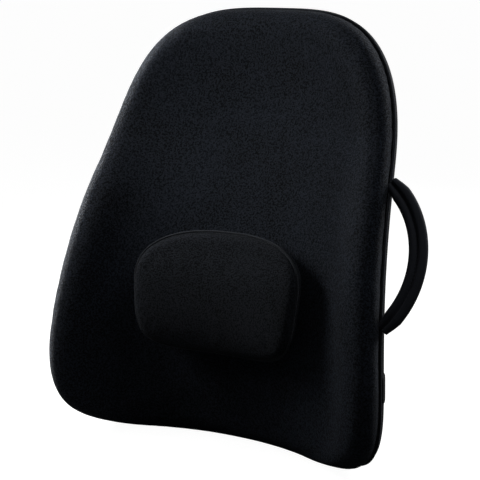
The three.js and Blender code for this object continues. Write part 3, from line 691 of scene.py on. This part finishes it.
def build_front():
    """The front cover over its foam, as one soft form."""
    radius = FRONT_EDGE_RADIUS + FRONT_PROUD
    rim = SEAM_LEVEL - SEAM_GAP
    stations = [
        *face_rings(FRONT_EDGE_RADIUS, FRONT - FRONT_PROUD),
        *quarter_turn(FRONT_EDGE_RADIUS, FRONT + FRONT_EDGE_RADIUS, radius, -radius, 10),
        (0, 4 * MM, 1),
        (0, rim - 1.5 * MM, 1),
        (1 * MM, rim, 1),
        (CORE_EDGE_INSET, FRONT_CORE_LEVEL, 1),
        *face_rings(FRONT_EDGE_RADIUS, FRONT_CORE_LEVEL)[::-1],
    ]
    piece = make_piece("front_upholstery", plate(body_outline(240), BODY_CENTRE_Z, stations), PILE)
    even_quads(piece, FRONT_VOXEL)
    held = level_of(points_of(piece)) > 3 * MM
    raise_bolsters(piece)
    inflate(piece, held, FRONT_SWELL * free_to_swell(points_of(piece)))
    soften(piece, 3)
    return place(piece, "backrest", "front_fabric", "front_cover", "front_foam")


def build_back():
    """The back panel over its thin padding, with a sewn channel inside its edge."""
    rim = SEAM_LEVEL + SEAM_GAP
    channel_inset = 20 * MM
    channel_width = 2 * MM
    channel_depth = 0.9 * MM
    edge = quarter_turn(BACK_EDGE_RADIUS, BACK - BACK_EDGE_RADIUS, BACK_EDGE_RADIUS, BACK_EDGE_RADIUS, 8)
    channel = []
    for inset in np.linspace(30, 13, 18) * MM:
        dip = channel_depth * math.exp(-(((inset - channel_inset) / channel_width) ** 2))
        channel.append((inset, BACK - dip, 1))
    stations = [
        *face_rings(FRONT_EDGE_RADIUS, BACK_CORE_LEVEL),
        (CORE_EDGE_INSET, BACK_CORE_LEVEL, 1),
        (1.2 * MM, rim, 1),
        (0.2 * MM, rim + 0.6 * MM, 1),
        *edge[::-1],
        *channel[::-1],
        *face_rings(31 * MM, BACK, steps=24)[::-1],
    ]
    piece = make_piece("back_upholstery", plate(body_outline(300), BODY_CENTRE_Z, stations), BACK_KNIT)
    place(piece, "backrest", "back_fabric", "back_cover", "back_padding")
    points, normals = body_outline(420)
    line = points - normals * channel_inset
    path = on_surface(line[:, 0], line[:, 1], BACK)
    stitches = make_piece("back_stitching", stitch_row(path, piece, closed=True), THREAD)
    place(stitches, "backrest", "back_fabric")


def build_welt(front):
    outline = body_outline(420)
    welt = make_piece("edge_piping", cord(outline, WELT_INSET, SEAM_LEVEL, WELT_RADIUS), PIPING_PAINTED_RIM)
    place(welt, "backrest", "piping", "edge_welt")
    points, normals = outline
    path = on_surface(points[:, 0], points[:, 1], SEAM_LEVEL - 6.5 * MM)
    stitches = make_piece("seam_stitching", stitch_row(path, front, closed=True), THREAD)
    place(stitches, "backrest", "front_fabric")


# ---- Lumbar pad ----
def build_pad():
    seam = FRONT - PAD_SEAM
    front_rise = PAD_SHOULDER - PAD_SEAM - PAD_SKIN
    rear_drop = PAD_SEAM - PAD_BASE
    stations = [
        *face_rings(PAD_EDGE_INSET, FRONT - PAD_SHOULDER + PAD_SKIN, PAD_SHOULDER - PAD_CROWN),
        *quarter_turn(PAD_EDGE_INSET, seam, PAD_EDGE_INSET - PAD_SKIN, -front_rise, 8),
        *quarter_turn(PAD_BACK_INSET, seam, PAD_BACK_INSET - PAD_SKIN, rear_drop, 8)[::-1],
        *face_rings(PAD_BACK_INSET, FRONT - PAD_BASE)[::-1],
    ]
    piece = make_piece("lumbar_pad_cushion", plate(pad_outline(160), PAD_CENTRE_Z, stations), PAD_KNIT)
    even_quads(piece, PAD_VOXEL)
    heights = FRONT - level_of(points_of(piece))
    held = (heights < 6 * MM) | (np.abs(heights - PAD_SEAM) < 2.5 * MM)
    inflate(piece, held, PAD_SWELL)
    soften(piece, 2)
    place(piece, "lumbar_pad", "pad_fabric", "pad_front_cover", "pad_rear_cover", "pad_foam")

    outline = pad_outline(260)
    welt = make_piece("pad_piping", cord(outline, 0.4 * MM, seam, PAD_WELT_RADIUS), PIPING_PAINTED_RIM)
    place(welt, "lumbar_pad", "piping", "pad_welt")
    points, normals = outline
    line = points - normals * 1.5 * MM
    path = on_surface(line[:, 0], line[:, 1], seam - 4.5 * MM)
    stitches = make_piece("pad_stitching", stitch_row(path, piece, closed=True), THREAD)
    place(stitches, "lumbar_pad", "pad_fabric")


def build_hook_strips():
    """Hook tape that stays on the body and grips the back of the pad."""
    pitch = 3 * MM
    for side, name in ((-1, "left"), (1, "right")):
        node = "hook_strip_" + name
        low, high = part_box(node)
        x = np.arange(low.x + 2 * MM, high.x - 1 * MM, pitch)
        z = np.arange(low.z + 2 * MM, high.z - 1 * MM, pitch)
        across, up = (grid.ravel() for grid in np.meshgrid(x, z))
        centres = on_surface(across, up, FRONT - 2.35 * MM)
        hooks = grains(centres, [0, -1, 0], [0, 0, 1], 1.2 * MM, 0.3 * MM, lift=0.3 * MM)
        middle = np.linspace(low.x, high.x, 9)
        path = np.stack([middle, np.full_like(middle, FRONT - 1.75 * MM)], axis=1)
        base = ribbon(path, PAD_CENTRE_Z, high.z - low.z, 0.6 * MM, columns=25)
        tape = make_piece("hook_tape_" + name, merged(base, hooks), HOOKS)
        place(tape, "lumbar_carriage", "hook_tape", node)


# ---- Carry handle ----
def handle_frame():
    """The swing axis: its middle and direction, outwards and sideways from it, and half its length."""
    clear = [HANDLE_CLEARANCE, 0, 0]
    ends = [on_surface(wall_x(z), z, SEAM_LEVEL) + clear for z in (HANDLE_LOW_Z, HANDLE_HIGH_Z)]
    half = np.linalg.norm(ends[1] - ends[0]) / 2
    up = (ends[1] - ends[0]) / (2 * half)
    out = np.array([1, 0, 0]) - up * up[0]
    out /= np.linalg.norm(out)
    return (ends[0] + ends[1]) / 2, up, out, np.cross(up, out), half


def handle_arc(half):
    """The radius of the handle's arc, and the angle from its middle to either end."""
    radius = (half**2 + HANDLE_RISE**2) / (2 * HANDLE_RISE)
    return radius, math.asin(half / radius)


def lobed_section(waist, count=44):
    """Two lobes side by side, drawn in towards the stitched line between them."""
    turn = np.linspace(0, 2 * math.pi, count, endpoint=False)
    x = (LOBE_RADIUS + LOBE_SPACING) * np.cos(turn)
    near = np.clip(np.abs(x) - LOBE_SPACING, -LOBE_RADIUS, LOBE_RADIUS)
    tall = np.sqrt(np.maximum(LOBE_RADIUS**2 - near**2, 0))
    drawn_in = 1 - waist * np.exp(-((x / (1.6 * MM)) ** 2))
    return x, np.sign(np.sin(turn)) * tall * drawn_in


def handle_run(angles, size, waist):
    """Sections along the handle's arc; past its ends the run goes straight on, into the seam."""
    middle, up, out, side, half = handle_frame()
    radius, end = handle_arc(half)
    rings = []
    for angle, scale, draw in zip(angles, size, waist):
        x, y = lobed_section(draw)
        held = np.clip(angle, -end, end)
        reach = radius + x * scale
        straight = radius * (angle - held)
        along_out = HANDLE_RISE - radius + reach * math.cos(held) - straight * math.sin(held)
        along_up = reach * math.sin(held) + straight * math.cos(held)
        ring = middle + np.outer(along_out, out) + np.outer(along_up, up) + np.outer(y * scale, side)
        rings.append(ring)
    return np.concatenate(rings), tube_faces(len(rings), len(rings[0]), closed=False)


def build_handle():
    middle, up, out, side, half = handle_frame()
    radius, end = handle_arc(half)
    grip_end = end - HANDLE_END_TRIM
    angles = np.linspace(-grip_end, grip_end, GRIP_SECTIONS)
    pucker = 0.45 + 0.1 * np.cos(angles * radius / STITCH_PITCH * 2 * math.pi)
    grip = make_piece("handle_grip", handle_run(angles, np.ones(GRIP_SECTIONS), pucker), SLEEVE_CLOTH)
    place(grip, "handle", "webbing", "handle_sleeve")

    for face, name in ((-1, "front"), (1, "rear")):
        row = np.linspace(-grip_end * 0.98, grip_end * 0.98, 90)
        reach_out = HANDLE_RISE - radius + radius * np.cos(row)
        path = middle + np.outer(reach_out, out) + np.outer(radius * np.sin(row), up)
        path -= face * side * 3 * MM
        stitches = make_piece("handle_stitching_" + name, stitch_row(path, grip), THREAD)
        place(stitches, "handle", "webbing")

    wall = end + TAIL_DEPTH / radius
    for sign, name in ((-1, "lower"), (1, "upper")):
        angles = sign * np.linspace(grip_end - 0.002, wall, TAIL_SECTIONS)
        share = np.linspace(0, 1, TAIL_SECTIONS)
        part = handle_run(angles, 1 - 0.3 * share, 0.45 + 0.5 * share)
        tail = make_piece("handle_end_" + name, part, SLEEVE_CLOTH)
        points = points_of(tail)
        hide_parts("handle_anchor_" + name)
        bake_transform(tail)


# ---- Chair strap ----
def arc_path(centre, radius, start, end, steps):
    turns = np.radians(np.linspace(start, end, steps))
    return [(centre[0] + radius * math.cos(t), centre[1] + radius * math.sin(t)) for t in turns]


def stitch_box(x_low, x_high, z_low, z_high, level, piece):
    """The crossed box that sews one layer of webbing to another."""
    corners = [(x_low, z_low), (x_high, z_low), (x_high, z_high), (x_low, z_high)]
    runs = [(corners[i], corners[(i + 1) % 4]) for i in range(4)]
    runs += [(corners[0], corners[2]), (corners[1], corners[3])]
    rows = []
    for (x0, z0), (x1, z1) in runs:
        share = np.linspace(0, 1, 12)
        path = on_surface(x0 + (x1 - x0) * share, z0 + (z1 - z0) * share, level)
        rows.append(stitch_row(path, piece))
    return merged(*rows)


def back_edge_x(z):
    """Where the rounded back edge meets the flat of the back panel."""
    return wall_x(z) - BACK_EDGE_RADIUS


def build_strap_tabs():
    """Webbing tabs that come out of the side seam and turn round the back edge."""
    middle = BACK_EDGE_RADIUS + 0.5 * MM + TAB_THICKNESS / 2
    start = SEAM_LEVEL + WELT_RADIUS + 0.8 * MM
    centre = (0, BACK - BACK_EDGE_RADIUS)
    path = [(middle, start), (middle, centre[1] - 0.2 * MM), *arc_path(centre, middle, 0, 90, 14)]
    path += [(x * MM, centre[1] + middle) for x in (-3, -8, -13, -18)]
    tab = ribbon(path, STRAP_Z, TAB_HEIGHT, TAB_THICKNESS, edge_x=back_edge_x, columns=13)
    right = make_piece("strap_tab_right", tab, WEBBING)
    left = make_piece("strap_tab_left", mirrored(tab), WEBBING)
    place(right, "backrest", "webbing", "strap_anchor_right")
    place(left, "backrest", "webbing", "strap_anchor_left")
    wall = float(back_edge_x(STRAP_Z))
    box = (wall - 15 * MM, wall - 3 * MM, STRAP_Z - 10 * MM, STRAP_Z + 10 * MM, BACK + 3 * MM)
    seams = stitch_box(*box, right)
    place(make_piece("tab_stitching_right", seams, THREAD), "backrest", "webbing")
    place(make_piece("tab_stitching_left", mirrored(seams), THREAD), "backrest", "webbing")


def rounded_path(corners, radius, steps=6):
    """A path through corners of (x, level), with each inner corner cut to a smooth bend."""
    path = [corners[0]]
    for before, corner, after in zip(corners, corners[1:], corners[2:]):
        before, corner, after = (np.array(point, float) for point in (before, corner, after))
        into = (before - corner) / np.linalg.norm(before - corner)
        out = (after - corner) / np.linalg.norm(after - corner)
        reach = min(radius, np.linalg.norm(before - corner) / 2, np.linalg.norm(after - corner) / 2)
        for share in np.linspace(0, 1, steps):
            start, end = corner + into * reach, corner + out * reach
            path.append(start * (1 - share) ** 2 + corner * 2 * share * (1 - share) + end * share**2)
    path.append(corners[-1])
    return np.array(path)


def finely(path, step):
    """The same path with extra points wherever two neighbours are further apart than a step."""
    points = [path[0]]
    for start, end in zip(path, path[1:]):
        pieces = max(int(np.linalg.norm(end - start) / step), 1)
        points += [start + (end - start) * share for share in np.arange(1, pieces + 1) / pieces]
    return np.array(points)


def strap_run(end_x):
    """From the side tab to a buckle half, round its end bar and back underneath itself.

    It is worked out for the +X side. The end is the outer face of the buckle half.
    """
    level = BACK + STRAP_BASE + STRAP_THICKNESS / 2
    over = BACK + BUCKLE_TOP + STRAP_THICKNESS / 2 + 0.3 * MM
    under = BACK + STRAP_THICKNESS / 2 + 0.4 * MM
    near = end_x + STRAP_THICKNESS / 2 + 0.3 * MM
    slot = end_x - BUCKLE_BAR - 1.5 * MM
    corners = [
        (STRAP_OUTER_X, level),
        (near + 6 * MM, level),
        (near, over),
        (slot, over),
        (slot, under),
        (end_x + STRAP_RETURN, under),
    ]
    return finely(rounded_path(corners, 2 * MM), 3.5 * MM)


def build_straps():
    female_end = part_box("buckle_female")[0].x
    male_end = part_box("buckle_male")[1].x
    for name, sign, end_x in (("left", -1, -female_end), ("right", 1, male_end)):
        part = ribbon(strap_run(end_x), STRAP_Z, STRAP_WIDTH, STRAP_THICKNESS)
        strap = make_piece("chair_strap_" + name, part if sign > 0 else mirrored(part), WEBBING)
        if name == "left":
            place(strap, "backrest", "webbing", "strap_left")
            continue
        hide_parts("strap_right")
        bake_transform(strap)
    build_adjuster_webbing()


def build_adjuster_webbing():
    """The fold of strap that rises through one slot of the slide and goes down the other."""
    low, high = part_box("strap_adjuster")
    middle = (low.x + high.x) / 2
    strap_top = BACK + STRAP_BASE + STRAP_THICKNESS
    start = strap_top + 0.1 * MM + STRAP_THICKNESS / 2
    over = strap_top + 4 * MM + STRAP_THICKNESS / 2
    corners = [(7.5, start), (5.5, start), (4.6, over), (-4.6, over), (-5.5, start), (-7.5, start)]
    corners = [(middle + x * MM, level) for x, level in corners]
    path = finely(rounded_path(corners, 1.5 * MM), 1.5 * MM)
    fold = ribbon(path, STRAP_Z, STRAP_WIDTH - 1 * MM, STRAP_THICKNESS)
    place(make_piece("adjuster_webbing", fold, WEBBING), "adjuster", "webbing")


# ---- Zipper ----
def build_zipper():
    x = np.linspace(-ZIP_REACH, ZIP_REACH, 90)
    for sign, name in ((-1, "lower"), (1, "upper")):
        path = np.stack([x, np.full_like(x, BACK + 0.8 * MM)], axis=1)
        tape_z = ZIP_Z + sign * (ZIP_TAPE_WIDTH / 2 + 0.15 * MM)
        tape = make_piece("zip_tape_" + name, ribbon(path, tape_z, ZIP_TAPE_WIDTH, 0.8 * MM), ZIP_TAPE)
        place(tape, "backrest", "zip_coil", "zipper_tape_" + name)
        teeth_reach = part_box("zipper_teeth_" + name)[1].x
        at = np.arange(-teeth_reach, teeth_reach, ZIP_PITCH) + (sign + 1) / 4 * ZIP_PITCH
        centres = on_surface(at, ZIP_Z + sign * 0.85 * MM, BACK + 2.1 * MM)
        teeth = grains(centres, [0, 0, 1], [0, 1, 0], 1.3 * MM, 0.52 * MM)
        coil = make_piece("zip_coil_" + name, teeth, COIL)
        place(coil, "backrest", "zip_coil", "zipper_teeth_" + name)


# ---- Carried-over CAD nodes ----
def dress(node, look, bevel=0.0):
    """Gives a frame node its finish and, by modifiers only, small rounded edges."""
    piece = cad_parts[node]
    piece.data.materials.clear()
    piece.data.materials.append(look)
    piece.data.shade_smooth()
    piece.data.set_sharp_from_angle(angle=math.radians(32))
    if bevel:
        weld = piece.modifiers.new("weld", "WELD")
        weld.merge_threshold = 0.005 * MM
        rounded = piece.modifiers.new("rounded edges", "BEVEL")
        rounded.width = bevel
        rounded.segments = 2
        rounded.limit_method = "ANGLE"
        rounded.angle_limit = math.radians(32)


def dress_frame():
    dress("frame_shell", SHELL)
    for node in ("handle_cord_outer", "handle_cord_inner"):
        dress(node, RUBBER)
    for part in ("female", "male", "prong_upper", "prong_lower"):
        dress("buckle_" + part, BUCKLE, 0.5 * MM)
    dress("strap_adjuster", BUCKLE, 0.5 * MM)
    for node in ("zipper_slider", "zipper_pull", "zipper_stop_open", "zipper_stop_closed"):
        dress(node, METAL, 0.2 * MM)


# ---- Stage ----
def add_light(name, size, energy, position):
    """A round soft box that looks at the middle of the upper body."""
    data = bpy.data.lights.new(name, "AREA")
    data.shape = "DISK"
    data.size = size
    data.energy = energy
    light = bpy.data.objects.new(name, data)
    light.location = position
    away = light.location - LIT_POINT
    light.rotation_euler = away.to_track_quat("Z", "Y").to_euler()
    bpy.context.scene.collection.objects.link(light)


def add_camera(azimuth, elevation, distance, lens, shift_x, shift_y):
    data = bpy.data.cameras.new("camera")
    data.lens = lens
    data.sensor_width = 36
    data.shift_x = shift_x
    data.shift_y = shift_y
    camera = bpy.data.objects.new("camera", data)
    around, up = math.radians(azimuth), math.radians(elevation)
    away = Vector((math.sin(around) * math.cos(up), -math.cos(around) * math.cos(up), math.sin(up)))
    camera.location = TARGET + away * distance
    camera.rotation_euler = away.to_track_quat("Z", "Y").to_euler()
    bpy.context.scene.collection.objects.link(camera)
    bpy.context.scene.camera = camera


def seen_by_camera(tree):
    return add_node(tree, "ShaderNodeLightPath").outputs["Is Camera Ray"]


def add_floor():
    """A pale floor that the camera sees nearly white, and that throws little light back."""
    size = 30
    corners = [(-size, -size, 0), (size, -size, 0), (size, size, 0), (-size, size, 0)]
    look, tree, shader = new_material("floor")
    shader.inputs["Roughness"].default_value = 0.9
    colour = between(tree, seen_by_camera(tree), (0.04, 0.04, 0.04), (0.2, 0.2, 0.2))
    tree.links.new(colour, shader.inputs["Base Color"])
    shader.inputs["Emission Color"].default_value = (1, 1, 1, 1)
    glow = maths(tree, "MULTIPLY", seen_by_camera(tree), 0.97)
    tree.links.new(glow, shader.inputs["Emission Strength"])
    make_piece("floor", (np.array(corners), [(0, 1, 2, 3)]), look)


def add_world():
    world = bpy.data.worlds.new("studio")
    world.use_nodes = True
    bpy.context.scene.world = world
    tree = world.node_tree
    background = tree.nodes["Background"]
    background.inputs["Color"].default_value = (1, 1, 1, 1)
    strength = spread(tree, seen_by_camera(tree), 0, 1, 0.045, 1)
    tree.links.new(strength, background.inputs["Strength"])


front = build_front()
build_back()
build_welt(front)
build_pad()
build_hook_strips()
build_handle()
build_strap_tabs()
build_straps()
build_zipper()
dress_frame()

add_floor()
add_world()
add_light("key", 0.25, 1.85, (-0.5, -0.12, 0.6))
add_light("low key", 0.25, 0.5, (-0.5, -0.25, 0.45))
add_light("crest", 0.3, 26, (-1.1, 0.12, 0.42))
add_light("top", 0.5, 1.5, (0.5, -0.1, 1.1))
add_light("back", 1, 18, (0.5, 1.3, 0.9))
add_camera(azimuth=30.9, elevation=11, distance=1.717, lens=105, shift_x=-0.0004, shift_y=-0.0215)
bpy.context.scene.view_settings.view_transform = "Standard"
